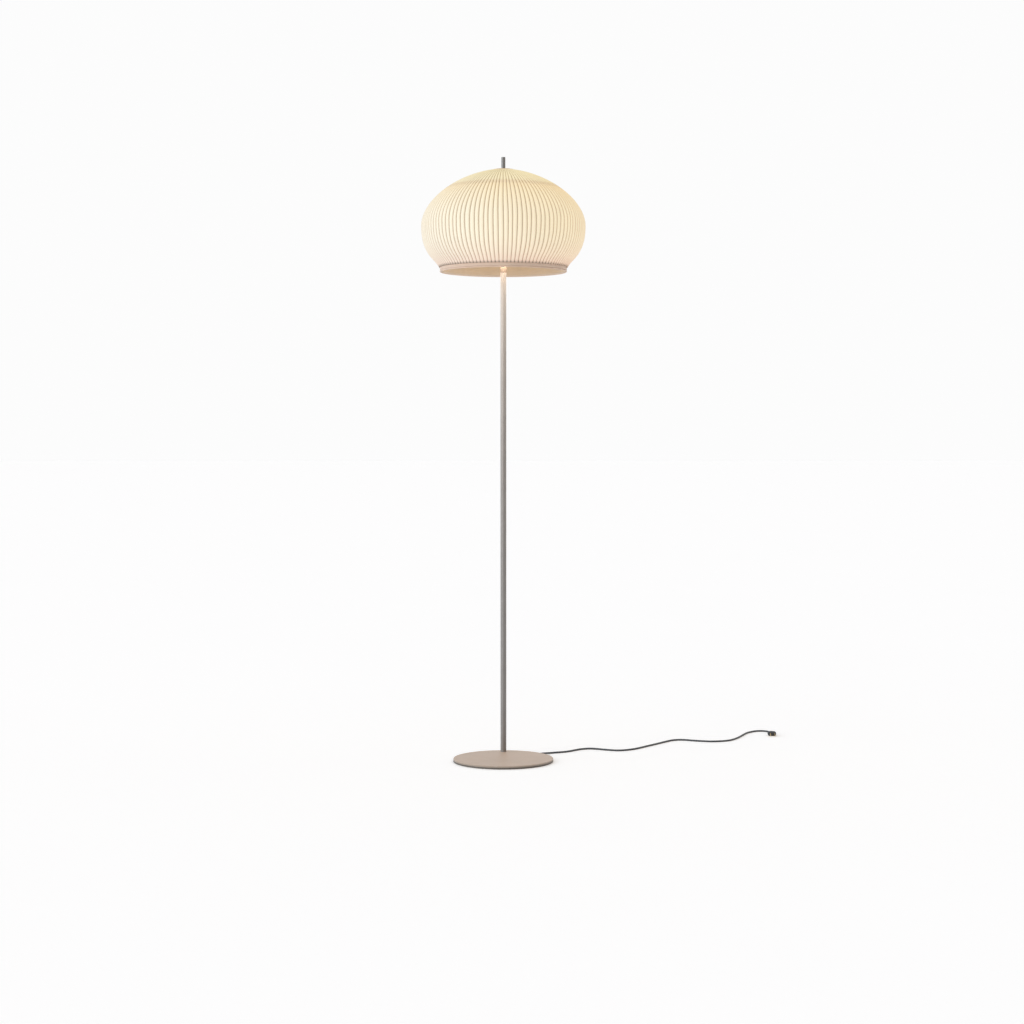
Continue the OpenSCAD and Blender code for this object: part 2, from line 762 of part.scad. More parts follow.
module bulb_contact() {
    color("silver") translate([0, 0, bulb_z])
        cylinder(r1 = bulb_contact_r - contact_taper, r2 = bulb_contact_r, h = bulb_contact_t);
}

module bulb_insulator() {
    color([0.12, 0.12, 0.12]) translate([0, 0, bulb_z + bulb_contact_t])
        cylinder(r1 = bulb_contact_r, r2 = cap_d / 2 - insulator_step, h = insulator_h);
}

// Screw cap with its thread as round ridges
module bulb_cap() {
    color("silver") translate([0, 0, bulb_cap_z]) rotate_extrude() {
        square([cap_d / 2 - thread_depth, bulb_cap_h]);
        for (i = [0 : thread_turns - 1])
            translate([cap_d / 2 - 2 * thread_depth, thread_start + i * thread_pitch])
                circle(2 * thread_depth, $fn = 24);
    }
}

// Housing that widens as an S from the cap to the globe
module bulb_housing() {
    h = glass_z - housing_z;
    r0 = cap_d / 2 + housing_lip;
    r1 = sqrt(bulb_r * bulb_r - (globe_z - glass_z) * (globe_z - glass_z));
    color("white") translate([0, 0, housing_z]) rotate_extrude()
        polygon(concat([[0, 0]], [for (i = [0 : housing_steps]) let (t = i / housing_steps)
            [r0 + (r1 - r0) * pow(t, housing_bend), h * t]], [[0, h]]));
}

module bulb_glass() {
    color([1, 0.97, 0.9]) intersection() {
        translate([0, 0, globe_z]) sphere(bulb_r);
        translate([0, 0, glass_z]) cylinder(r = bulb_d, h = bulb_d);
    }
}

module shade_top_disc() {
    color("silver") translate([0, 0, disc_z]) pipe(disc_r, stud_thread / 2 + free, disc_t);
}

// Flat wires that follow the curve inside the pleats and end inside the band
module shade_struts() {
    inner = function (i) pleat(i) + fabric_t + strut_gap;
    outside = [for (i = [0 : rings - 1]) inset(i, inner(i))];
    inside = [for (i = [rings - 1 : -1 : 0]) inset(i, inner(i) + strut_d)];
    foot_r = band_in_r - 2 * seat;
    foot = [[foot_r, band_top], [foot_r, band_z + strut_foot],
        [foot_r - strut_d, band_z + strut_foot], [foot_r - strut_d, band_top]];
    start = [[disc_r + seat, inside[rings - 1][1]], [disc_r + seat, outside[0][1]]];
    color("lightgray") for (k = [0 : struts - 1]) rotate([0, 0, 360 * k / struts])
        translate([0, strut_d / 2, 0]) rotate([90, 0, 0])
            linear_extrude(strut_d) polygon(concat(outside, foot, inside, start));
}

module shade_hoop() {
    depth = pleat(hoop_ring) + fabric_t + strut_gap + strut_d + hoop_d / 2 + seat;
    centre = inset(hoop_ring, depth);
    color("lightgray") rotate_extrude($fn = 180) translate(centre) circle(d = hoop_d, $fn = 32);
}

module shade_band() {
    color([0.87, 0.79, 0.7]) translate([0, 0, band_z]) rotate_extrude($fn = 180) {
        translate([band_in_r, band_wall / 2]) square([band_wall, band_h - band_wall / 2]);
        translate([band_in_r + band_wall / 2, band_wall / 2]) circle(d = band_wall, $fn = 32);
    }
}

// Pleated cloth: sharp folds that run from the upper hem to the band, of even thickness
module shade_fabric() {
    folds = 2 * pleats;
    skin = function (d) [for (i = [0 : rings]) for (k = [0 : folds - 1])
        let (p = inset(i, d + (k % 2) * pleat(i)), a = 360 * k / folds)
        [p[0] * cos(a), p[0] * sin(a), p[1]]];
    back = (rings + 1) * folds;
    walls = [for (i = [0 : rings - 1]) for (k = [0 : folds - 1])
        let (n = (k + 1) % folds, a = i * folds, b = a + folds)
        each [[a + k, a + n, b + n], [a + k, b + n, b + k]]];
    linings = [for (w = walls) [w[2] + back, w[1] + back, w[0] + back]];
    low = rings * folds;
    hems = [for (k = [0 : folds - 1]) let (n = (k + 1) % folds)
        each [[k, k + back, n + back], [k, n + back, n],
            [low + k, low + n, low + n + back], [low + k, low + n + back, low + k + back]]];
    color([0.97, 0.92, 0.8]) polyhedron(concat(skin(0), skin(fabric_t)), concat(walls, linings, hems));
}

module finial() {
    edge = 1;
    color([0.65, 0.62, 0.58]) translate([0, 0, disc_top]) difference() {
        rotate_extrude() {
            square([finial_d / 2, finial_len - edge]);
            square([finial_d / 2 - edge, finial_len]);
            translate([finial_d / 2 - edge, finial_len - edge]) circle(edge, $fn = 32);
        }
        translate([0, 0, -cut]) cylinder(r = finial_bore_r, h = finial_bore_h + cut);
    }
}

module cord() {
    color([0.3, 0.3, 0.3]) tube(smooth_route(route, route_steps), cord_d, 8);
}

module at_plug() {
    translate(plug_at) rotate([0, 0, plug_turn]) children();
}

// A slab with rounded corners across the plug, at x
module plug_slice(x, w, t, round) {
    translate([x, 0, 0]) rotate([90, 0, 90]) linear_extrude(1) hull()
        for (a = [-1, 1]) for (b = [-1, 1])
            translate([a * (w / 2 - round), b * (t / 2 - round)]) circle(round, $fn = 24);
}

module plug_body() {
    color([0.15, 0.15, 0.15]) at_plug() {
        rotate([0, 90, 0]) cylinder(r1 = neck_back_r, r2 = neck_front_r, h = neck_len + 1);
        hull() {
            plug_slice(neck_len, plug_back_w, plug_back_t, plug_round);
            plug_slice(neck_len + plug_body_len * 0.4, plug_w, plug_t, plug_round + plug_taper);
            plug_slice(neck_len + plug_body_len - 1, plug_w - 2 * plug_taper, plug_t - plug_taper,
                plug_round);
        }
    }
}

module plug_blades() {
    color("goldenrod") at_plug() for (side = [-1, 1])
        translate([neck_len + plug_body_len, side * blade_gap / 2 - blade_t / 2, -blade_w / 2])
            cube([blade_len, blade_t, blade_w]);
}

base_plate();
base_pad();
base_washer();
base_nut();
base_nipple();
cord_clamp();
clamp_screws();
cord_boot();
lead_jacket();
lead_wires();
pole_foot();
pole_lower();
pole_coupler();
pole_upper();
pole_head();
harp_saddle();
holder_nipple();
harp();
harp_sleeve_left();
harp_sleeve_right();
harp_stud();
holder_cap();
holder_body();
holder_terminals();
holder_thread();
holder_contact();
holder_liner();
holder_shell();
switch_shaft();
switch_knob();
bulb_contact();
bulb_insulator();
bulb_cap();
bulb_housing();
bulb_glass();
shade_top_disc();
shade_struts();
shade_hoop();
shade_band();
shade_fabric();
finial();
cord();
plug_body();
plug_blades();
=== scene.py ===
import json
import math

import bpy
import numpy as np
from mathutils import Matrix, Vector


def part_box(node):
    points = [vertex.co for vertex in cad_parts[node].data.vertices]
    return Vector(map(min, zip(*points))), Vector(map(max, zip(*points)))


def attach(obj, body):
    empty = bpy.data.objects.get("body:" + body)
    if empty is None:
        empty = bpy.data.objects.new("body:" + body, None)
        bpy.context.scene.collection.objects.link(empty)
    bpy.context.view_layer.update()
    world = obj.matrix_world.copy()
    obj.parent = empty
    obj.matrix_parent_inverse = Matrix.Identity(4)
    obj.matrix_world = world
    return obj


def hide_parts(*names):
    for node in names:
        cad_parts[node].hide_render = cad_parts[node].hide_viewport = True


# Floor lamp with a pleated lantern shade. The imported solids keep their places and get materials.
# The cloth, the band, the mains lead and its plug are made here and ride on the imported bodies.
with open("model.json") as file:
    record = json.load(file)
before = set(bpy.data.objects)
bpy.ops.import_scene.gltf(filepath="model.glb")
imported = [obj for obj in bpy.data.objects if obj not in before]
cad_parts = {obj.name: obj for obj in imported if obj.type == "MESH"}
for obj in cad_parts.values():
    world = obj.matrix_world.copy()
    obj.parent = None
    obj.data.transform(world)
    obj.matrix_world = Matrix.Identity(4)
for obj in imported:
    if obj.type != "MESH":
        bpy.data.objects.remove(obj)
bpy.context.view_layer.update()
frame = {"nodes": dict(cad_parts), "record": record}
NODES = frame["nodes"]
scene = bpy.context.scene


# ---------------------------------------------------------------- camera
EYE_AT = (0.0235, -5.430, 0.881)
LOOK_DOWN = math.radians(2.25)
LENS, SENSOR = 69.86, 36.0          # mm

eye = bpy.data.cameras.new("view")
eye.lens = LENS
eye.sensor_width = SENSOR
camera = bpy.data.objects.new("view", eye)
camera.location = EYE_AT
camera.rotation_euler = (math.pi / 2 - LOOK_DOWN, 0, 0)
scene.collection.objects.link(camera)
scene.camera = camera
scene.view_settings.view_transform = "Standard"


# ---------------------------------------------------------------- sizes that several pieces share
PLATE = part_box("base_plate")
PLATE_R = (PLATE[1][0] - PLATE[0][0]) / 2
PLATE_Y = PLATE[1][1] - PLATE_R
BAND_LOW, BAND_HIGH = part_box("shade_band")
CLOTH_Z = tuple(corner[2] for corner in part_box("shade_fabric"))
BULB_Z = tuple(corner[2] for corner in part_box("bulb_glass"))
SHADE_R = 0.2235                    # the cloth's widest radius
PLEATS = 108
TUCK_DOWN = 0.0072                  # how far the cloth hangs over the band's upper edge
EXIT_TURN = math.radians(44)        # direction in which the lead leaves the plate, from +X
LEAD_IN = 0.039                     # from the plate's edge in to the lead's bend under it


# ---------------------------------------------------------------- materials
class Paint:
    """A material with one Principled shader, and short ways to add the nodes that feed it."""

    def __init__(self, name, **constants):
        self.material = bpy.data.materials.new(name)
        self.material.use_nodes = True
        self.tree = self.material.node_tree
        self.shader = self.tree.nodes["Principled BSDF"]
        for key, value in constants.items():
            self.shader.inputs[key.replace("_", " ")].default_value = value

    @classmethod
    def on(cls, tree):
        """The same short ways for a node tree that isn't a material's."""
        made = cls.__new__(cls)
        made.tree = tree
        return made

    def node(self, kind, inputs=None, **settings):
        made = self.tree.nodes.new("ShaderNode" + kind)
        for key, value in settings.items():
            setattr(made, key, value)
        for key, value in (inputs or {}).items():
            self.feed(made.inputs[key], value)
        return made

    def feed(self, socket, value):
        """Links value to the socket if it is another node's output, and else sets it."""
        if isinstance(value, bpy.types.NodeSocket):
            self.tree.links.new(value, socket)
        else:
            socket.default_value = value

    def math(self, operation, a, b=0.0, c=0.0):
        """One Math node on up to three numbers or sockets."""
        return self.node("Math", {0: a, 1: b, 2: c}, operation=operation).outputs[0]

    def place(self):
        """The point's place in the shared frame, in metres."""
        return self.node("TexCoord").outputs["Object"]

    def split(self, vector=None):
        return self.node("SeparateXYZ", {0: vector or self.place()}).outputs

    def stretched(self, x, y, z):
        return self.node("Mapping", {"Vector": self.place(), "Scale": (x, y, z)}).outputs[0]

    def noise(self, scale, detail=3.0, rough=0.5, vector=None):
        made = self.node("TexNoise", {"Vector": vector or self.place(), "Scale": scale,
                                      "Detail": detail, "Roughness": rough})
        return made.outputs[0]

    def ramp(self, value, *stops):
        """A colour or a level for value, from (position, colour or number) stops."""
        made = self.node("ValToRGB", {"Fac": value})
        points = made.color_ramp.elements
        while len(points) < len(stops):
            points.new(0.5)
        for point, (position, shade) in zip(points, stops):
            point.position = position
            grey = isinstance(shade, (int, float))
            point.color = (shade, shade, shade, 1) if grey else (*shade, 1)
        return made.outputs["Color"]

    def mapped(self, value, start, end, low=0.0, high=1.0, **settings):
        """Maps start..end to low..high, and holds it there outside."""
        sockets = {0: value, 1: start, 2: end, 3: low, 4: high}
        return self.node("MapRange", sockets, **settings).outputs[0]

    def mixed(self, share, a, b, way="MIX"):
        made = self.node("Mix", data_type="RGBA", blend_type=way)
        self.feed(made.inputs[0], share)
        for socket, value in ((made.inputs[6], a), (made.inputs[7], b)):
            self.feed(socket, (*value, 1) if isinstance(value, tuple) else value)
        return made.outputs[2]

    def level(self, value, low, high):
        """Maps 0..1 to low..high."""
        return self.math("MULTIPLY_ADD", value, high - low, low)

    def near(self, value, at, width):
        """1 where value is at, falling to 0 at width away."""
        far = self.math("ABSOLUTE", self.math("SUBTRACT", value, at))
        return self.mapped(far, 0.0, width, 1.0, 0.0)

    def use(self, **links):
        for key, value in links.items():
            self.feed(self.shader.inputs[key.replace("_", " ")], value)

    def bump(self, height, strength, distance, normal=None):
        made = self.node("Bump", {"Height": height, "Strength": strength, "Distance": distance})
        if normal:
            self.feed(made.inputs["Normal"], normal)
        return made.outputs[0]


def powder_coat(name, light, dark, worn, side, side_floor_shadow, plate):
    """Fine powder coat, darker on the plate's side, with a painted shadow that darkens the side most
    near the floor, and rubbed on its rim.
    """
    p = Paint(name, Metallic=0.0, Specular_IOR_Level=0.45, Coat_Weight=0.08, Coat_Roughness=0.35)
    low, high = plate
    rim = (high[0] - low[0]) / 2
    x, y, z = p.split()
    y = p.math("SUBTRACT", y, (low[1] + high[1]) / 2)
    radius = p.math("SQRT", p.math("ADD", p.math("MULTIPLY", x, x), p.math("MULTIPLY", y, y)))
    cloud = p.noise(9.0, 4.0, 0.6)
    grain = p.noise(1400.0, 2.0, 0.6)
    colour = p.ramp(p.mixed(0.3, cloud, grain), (0.3, dark), (0.7, light))
    wall = p.mapped(z, high[2] - 0.0004, high[2] - 0.0016)       # 1 below the rounded edge
    # Painted shadow: towards the floor the side turns to the side_floor_shadow colour.
    rise = p.mapped(z, low[2] + 0.0025, high[2] - 0.003)         # 0 near the floor
    colour = p.mixed(p.math("MULTIPLY", wall, p.near(radius, rim, 0.004)), colour,
                     p.mixed(rise, side_floor_shadow, side))
    edge = p.math("MULTIPLY", p.near(radius, rim, 0.0022), p.near(z, high[2] - 0.0005, 0.0022))
    rubbed = p.math("MULTIPLY", edge, p.ramp(p.noise(60.0, 5.0, 0.65), (0.48, 0.0), (0.62, 0.55)))
    dust = p.ramp(p.noise(23.0, 6.0, 0.7), (0.55, 0.0), (0.8, 0.12))
    p.use(Base_Color=p.mixed(rubbed, p.mixed(dust, colour, light), worn),
          Roughness=p.level(p.noise(40.0, 4.0), 0.42, 0.6),
          Normal=p.bump(grain, 0.25, 0.00025, p.bump(p.noise(300.0, 3.0), 0.15, 0.0004)))
    return p.material


def drawn_metal(name, light, dark, rough, across=900.0, along=7.0, metallic=1.0, spin=False):
    """Satin metal whose fine lines run along Z, or round the axis if spin."""
    p = Paint(name, Metallic=metallic, Specular_IOR_Level=0.5)
    way = (along, along, across) if spin else (across, across, along)
    lines = p.noise(1.0, 4.0, 0.65, p.stretched(*way))
    cloud = p.noise(14.0, 4.0, 0.6)
    mark = p.ramp(p.noise(55.0, 6.0, 0.7), (0.6, 0.0), (0.78, 0.35))
    colour = p.ramp(p.mixed(0.45, lines, cloud), (0.3, dark), (0.7, light))
    p.use(Base_Color=p.mixed(mark, colour, dark),
          Roughness=p.level(lines, rough - 0.08, rough + 0.1),
          Normal=p.bump(lines, 0.12, 0.0002))
    return p.material


def moulded(name, light, dark, rough, grain=700.0, depth=0.15, coat=0.0, glow=None):
    """Plastic, rubber or glass: a fine texture over soft uneven colour.

    glow is (lowest z, highest z, colour at the bottom, colour from the middle up, strength)."""
    p = Paint(name, Specular_IOR_Level=0.5, Coat_Weight=coat, Coat_Roughness=0.15)
    fine = p.noise(grain, 3.0, 0.6)
    cloud = p.noise(26.0, 4.0, 0.6)
    p.use(Base_Color=p.ramp(p.mixed(0.35, cloud, fine), (0.3, dark), (0.7, light)),
          Roughness=p.level(cloud, rough - 0.06, rough + 0.08),
          Normal=p.bump(fine, depth, 0.0003))
    if glow:
        low, high, dim, bright, strength = glow
        height = p.mapped(p.split()[2], low, high)
        p.use(Emission_Color=p.ramp(height, (0.0, dim), (0.55, bright)), Emission_Strength=strength)
    return p.material


def board(name, light, dark):
    """Rolled insulating board, with flat fibres."""
    p = Paint(name, Specular_IOR_Level=0.2)
    fibre = p.noise(1.0, 5.0, 0.7, p.stretched(260.0, 260.0, 900.0))
    p.use(Base_Color=p.ramp(fibre, (0.3, dark), (0.72, light)),
          Roughness=p.level(fibre, 0.75, 0.92), Normal=p.bump(fibre, 0.4, 0.0003))
    return p.material


def two_wires(name, first, second, turn):
    """Insulation of the two conductors, one colour on each side of the line at turn."""
    p = Paint(name, Specular_IOR_Level=0.4)
    x, y, _ = p.split()
    side = p.math("SUBTRACT", p.math("MULTIPLY", y, math.cos(turn)),
                  p.math("MULTIPLY", x, math.sin(turn)))
    fine = p.noise(500.0, 3.0)
    colour = p.mixed(p.math("GREATER_THAN", side, 0.0), first, second)
    p.use(Base_Color=p.mixed(p.level(fine, 0.0, 0.25), colour, (0.02, 0.02, 0.02)),
          Roughness=p.level(fine, 0.35, 0.55), Normal=p.bump(fine, 0.1, 0.0002))
    return p.material


def channel_turn():
    """Direction from the pole to the bend of the lead's channel under the plate."""
    bend_r = PLATE_R - LEAD_IN
    return math.atan2(PLATE_Y + bend_r * math.sin(EXIT_TURN), bend_r * math.cos(EXIT_TURN))


WEAVE_ROWS = 1700                   # rows of thread in a metre of height
CLOTH_THREADS = PLEATS * 22         # threads round the cloth
BAND_THREADS = 1850                 # threads round the band


def weave(p, threads):
    """Height of a plain weave, with this many threads round the axis."""
    x, y, z = p.split()
    turn = p.math("MULTIPLY", p.math("ARCTAN2", y, x), threads)
    rise = p.math("MULTIPLY", z, WEAVE_ROWS * math.tau)
    return p.math("MULTIPLY", p.math("SINE", turn), p.math("SINE", rise))


# Strength of the cloth's painted glow, which stands in for the bulb's light coming through it.
PAINTED_CLOTH_GLOW = 0.49
# The dark line along the lower hem is a painted shadow under the cloth's overhang on the band.
HEM_SHADE = 0.0068                  # half the height of the dark line along the lower hem
# Colour of the painted light that comes through, by share of the cloth's height. It reddens towards
# the band, and 0.80 to 0.82 is a painted shadow line, the level line near the top.
CLOTH_LIGHT = ((0.0, (0.90, 0.54, 0.30)), (0.07, (0.98, 0.73, 0.42)), (0.22, (1.0, 0.84, 0.49)),
               (0.5, (1.0, 0.85, 0.49)), (0.70, (1.0, 0.81, 0.38)), (0.78, (1.0, 0.75, 0.28)),
               (0.80, (0.76, 0.53, 0.15)), (0.82, (0.76, 0.55, 0.17)), (0.84, (0.96, 0.84, 0.36)),
               (1.0, (0.96, 0.88, 0.31)))
# Painted light across the lamp: cooler and dimmer on its left, warmer and brighter on its right.
PAINTED_LIGHT_LEFT, PAINTED_LIGHT_RIGHT = (0.80, 0.86, 1.04), (1.15, 1.08, 0.97)


def shade_cloth():
    """Cream cloth with a painted glow for the light from behind: bright on the ribs, dimmer in the
    folds and along the hem, where painted shade and a painted shadow also darken its colour.
    """
    p = Paint("shade_cloth", Roughness=0.85, Specular_IOR_Level=0.12, Sheen_Weight=0.05,
              Sheen_Roughness=0.6, Coat_Weight=1.0, Coat_Roughness=0.9, Coat_IOR=1.02,
              Coat_Tint=(0.94, 0.93, 0.93, 1), Emission_Strength=PAINTED_CLOTH_GLOW)
    fold = p.node("Attribute", attribute_name="fold").outputs["Fac"]
    x, _, z = p.split()
    low, high = CLOTH_Z
    height = p.mapped(z, low, high)
    slub = p.noise(1.0, 4.0, 0.6, p.stretched(420.0, 420.0, 9.0))
    cloud = p.noise(11.0, 3.0, 0.5)
    warm = p.mixed(height, (0.84, 0.775, 0.69), (0.83, 0.71, 0.54))
    ridge = p.mixed(p.level(slub, 0.0, 0.22), warm, (0.70, 0.60, 0.43))
    # Painted shade in the creases: the base colour darkens to brown where the pleats fold in.
    colour = p.mixed(p.math("MULTIPLY", fold, 0.75), ridge, (0.47, 0.36, 0.25))
    # Painted light: the glow's tint goes from the lamp's left side to its right side.
    across = p.math("MULTIPLY_ADD", x, 0.5 / SHADE_R, 0.5)
    light = p.mixed(1.0, p.ramp(height, *CLOTH_LIGHT), p.mixed(across, PAINTED_LIGHT_LEFT, PAINTED_LIGHT_RIGHT),
                    "MULTIPLY")
    # Painted glow: strongest on the ribs, dimmer in the folds, with soft uneven patches.
    through = p.math("MULTIPLY", p.level(cloud, 0.9, 1.08), p.level(fold, 1.0, 0.30))
    # Painted shadow along the lower hem, under the cloth's overhang on the band, deepest in the
    # folds.
    dark = p.math("MULTIPLY", p.near(z, low - TUCK_DOWN, HEM_SHADE), p.level(fold, 0.55, 1.0))
    through = p.math("MULTIPLY", through, p.math("SUBTRACT", 1.0, dark))
    grey = p.node("CombineColor", {0: through, 1: through, 2: through}).outputs[0]
    p.use(Base_Color=p.mixed(dark, colour, (0.13, 0.08, 0.055)),
          Emission_Color=p.mixed(1.0, light, grey, "MULTIPLY"),
          Normal=p.bump(weave(p, CLOTH_THREADS), 0.12, 0.00012, p.bump(slub, 0.15, 0.0003)))
    return p.material


def band_cloth(name, light, dark):
    """Tan cloth on the band, with a visible plain weave and slubs."""
    p = Paint(name, Specular_IOR_Level=0.15, Sheen_Weight=0.3, Sheen_Roughness=0.6)
    knot = weave(p, BAND_THREADS)
    slub = p.noise(1.0, 5.0, 0.65, p.stretched(60.0, 60.0, 900.0))
    cloud = p.noise(18.0, 4.0, 0.6)
    colour = p.ramp(p.mixed(0.5, slub, cloud), (0.32, dark), (0.7, light))
    p.use(Base_Color=p.mixed(p.level(knot, 0.09, 0.22), colour, dark),
          Roughness=p.level(slub, 0.75, 0.95),
          Normal=p.bump(knot, 0.25, 0.00025, p.bump(slub, 0.2, 0.0004)))
    return p.material


MATERIALS = {
    "base_steel": powder_coat("base_steel", (0.63, 0.46, 0.338), (0.55, 0.402, 0.293),
                              (0.62, 0.55, 0.48), (0.44, 0.34, 0.26), (0.13, 0.108, 0.09), PLATE),
    "pad": moulded("pad", (0.035, 0.034, 0.033), (0.02, 0.02, 0.02), 0.85, 900.0, 0.6),
    "pole_steel": drawn_metal("pole_steel", (0.345, 0.321, 0.30), (0.26, 0.243, 0.228), 0.46,
                              metallic=0.8),
    "plain_steel": drawn_metal("plain_steel", (0.62, 0.62, 0.60), (0.45, 0.45, 0.45), 0.38,
                               300.0, 300.0),
    "brass": drawn_metal("brass", (0.78, 0.60, 0.32), (0.60, 0.43, 0.20), 0.3, 500.0, 60.0),
    "cord_pvc": moulded("cord_pvc", (0.085, 0.085, 0.086), (0.06, 0.06, 0.062), 0.5, 900.0, 0.12),
    "conductor": two_wires("conductor", (0.30, 0.05, 0.03), (0.03, 0.03, 0.035), channel_turn()),
    "phenolic": moulded("phenolic", (0.72, 0.66, 0.55), (0.62, 0.56, 0.46), 0.3, 500.0, 0.08, 0.4),
    "liner": board("liner", (0.46, 0.36, 0.24), (0.32, 0.24, 0.15)),
    "knob": moulded("knob", (0.03, 0.03, 0.03), (0.018, 0.018, 0.018), 0.32, 600.0, 0.12, 0.2),
    "bulb_metal": drawn_metal("bulb_metal", (0.80, 0.80, 0.79), (0.66, 0.66, 0.66), 0.25,
                              700.0, 20.0, spin=True),
    "bulb_base": moulded("bulb_base", (0.025, 0.025, 0.03), (0.012, 0.012, 0.015), 0.2, 300.0,
                         0.05, 0.5),
    "bulb_body": moulded("bulb_body", (0.80, 0.79, 0.76), (0.72, 0.71, 0.68), 0.45, 500.0, 0.08),
    "bulb_diffuser": moulded("bulb_diffuser", (0.86, 0.83, 0.76), (0.80, 0.77, 0.70), 0.4, 300.0,
                             0.05, glow=(*BULB_Z, (0.9, 0.66, 0.40), (1.0, 0.80, 0.55), 0.75)),
    "frame_wire": moulded("frame_wire", (0.80, 0.77, 0.70), (0.70, 0.67, 0.60), 0.4, 260.0, 0.3),
    "band_fabric": band_cloth("band_fabric", (0.96, 0.71, 0.54), (0.81, 0.585, 0.44)),
    "shade_cloth": shade_cloth(),
}
BAND_LINING = band_cloth("band_lining", (0.85, 0.69, 0.54), (0.71, 0.57, 0.44))

for part in frame["record"]["subparts"]:
    for slot in NODES[part["node"]].material_slots:
        slot.link = "OBJECT"
        slot.material = MATERIALS[part["material_slot"]]


# ---------------------------------------------------------------- making meshes
def add_mesh(name, points, faces, body, slot, material=None):
    """A smooth piece on a body. It wears its slot's material, or another one if given."""
    mesh = bpy.data.meshes.new(name)
    mesh.from_pydata([tuple(p) for p in points], [], faces)
    mesh.validate()
    mesh.shade_smooth()
    mesh.materials.append(material or MATERIALS[slot])
    made = bpy.data.objects.new(name, mesh)
    scene.collection.objects.link(made)
    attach(made, body)
    return made


def grid_faces(rows, columns, wrap_rows=False, flip=False):
    """Quads over rows of points that each close on themselves."""
    faces = []
    for i in range(rows if wrap_rows else rows - 1):
        a, b = i * columns, (i + 1) % rows * columns
        for k in range(columns):
            n = (k + 1) % columns
            quad = (a + k, a + n, b + n, b + k)
            faces.append(quad[::-1] if flip else quad)
    return faces


def revolved(name, profile, steps, body, slot, material=None):
    """A closed profile of (radius, height) points, clockwise from its outer side, turned round Z."""
    turns = np.arange(steps) * math.tau / steps
    rows = [np.c_[r * np.cos(turns), r * np.sin(turns), np.full(steps, z)] for r, z in profile]
    return add_mesh(name, np.vstack(rows), grid_faces(len(profile), steps, True, True), body, slot,
                    material)


# ---------------------------------------------------------------- mains lead, laid on the floor
CORD_D = 0.005
FLOOR_Z = 0.0026                    # height of the lead's middle where it lies on the floor
BOOT_REACH = 0.02155                # from the plate's edge out to the tip of the lead's boot
EXIT_Z = 0.00425
# Points of the lead on the floor, in mm
LAID = ((141, 22), (176, 40), (206, 73), (221, 86), (242, 92.5), (262, 86), (281, 74.5), (321, 60),
        (363, 84), (402, 134), (441, 187), (472, 231), (488, 246.5), (507, 252.5), (526, 247.5),
        (545, 237), (594, 222), (643, 238), (674, 285), (698, 344), (713, 381), (722, 394.8),
        (730, 405.5), (738.5, 414.6), (748.6, 421.1), (760.1, 423), (771, 419.2), (779, 410.8),
        (782.8, 399.3))
PLUG_NECK = ((0.7834, 0.3875, 0.0041), (0.7832, 0.3755, 0.0065))

exit_way = np.array([math.cos(EXIT_TURN), math.sin(EXIT_TURN), 0.0])
lead_exit = (PLATE_R + BOOT_REACH) * exit_way + [0, PLATE_Y, EXIT_Z]
route = [tuple(lead_exit), tuple(lead_exit + 0.011 * exit_way - [0, 0, 0.0006])]
route += [(x / 1000, y / 1000, FLOOR_Z) for x, y in LAID]
route += PLUG_NECK


def smooth_route(points, steps):
    """A Catmull-Rom curve through the points, with steps in each stretch."""
    p = np.array(points)
    p = np.vstack([2 * p[0] - p[1], p, 2 * p[-1] - p[-2]])
    out = []
    for i in range(len(p) - 3):
        a, b, c, d = p[i:i + 4]
        for t in np.arange(steps) / steps:
            out.append(0.5 * (2 * b + (c - a) * t + (2 * a - 5 * b + 4 * c - d) * t * t
                              + (3 * b - a - 3 * c + d) * t ** 3))
    return np.array(out + [p[-2]])


def make_lead(line):
    """The lead as a round tube along the points of line."""
    curve = bpy.data.curves.new("mains_lead", "CURVE")
    curve.dimensions = "3D"
    curve.bevel_depth = CORD_D / 2
    curve.bevel_resolution = 5
    curve.use_fill_caps = True
    spline = curve.splines.new("POLY")
    spline.points.add(len(line) - 1)
    for point, at in zip(spline.points, line):
        point.co = (*at, 1.0)
    spline.use_smooth = True
    curve.materials.append(MATERIALS["cord_pvc"])
    made = bpy.data.objects.new("mains_lead", curve)
    scene.collection.objects.link(made)
    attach(made, "stand")
    return made


line = smooth_route(route, 8)
mains_lead = make_lead(line)
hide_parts("cord")


# ---------------------------------------------------------------- plug
def plug_sections():
    """(distance, half width, half thickness, roundness) from the neck to the face."""
    rows = []
    for i in range(25):                      # neck with six soft ribs
        t = i / 24
        rib = 0.00045 * (0.5 - 0.5 * math.cos(math.tau * 6 * t)) * (1 - 0.3 * t)
        size = 0.0031 + 0.0011 * t + rib
        rows.append((0.014 * t, size, size, 2.0))
    rows += [(0.015, 0.0058, 0.0045, 2.4), (0.0165, 0.0078, 0.0053, 2.8),
             (0.019, 0.0099, 0.0060, 3.2), (0.0215, 0.0113, 0.0064, 3.4)]
    for i in range(17):                      # finger grip with four grooves
        t = i / 16
        dip = 0.0006 * (0.5 - 0.5 * math.cos(math.tau * 4 * t))
        rows.append((0.0225 + 0.011 * t, 0.0119 - dip, 0.00645 - 0.4 * dip, 3.6))
    rows += [(0.0355, 0.0118, 0.0064, 3.6), (0.0371, 0.0113, 0.0061, 3.4),
             (0.0378, 0.0107, 0.0056, 3.2), (0.0380, 0.0098, 0.0048, 3.0)]
    return rows


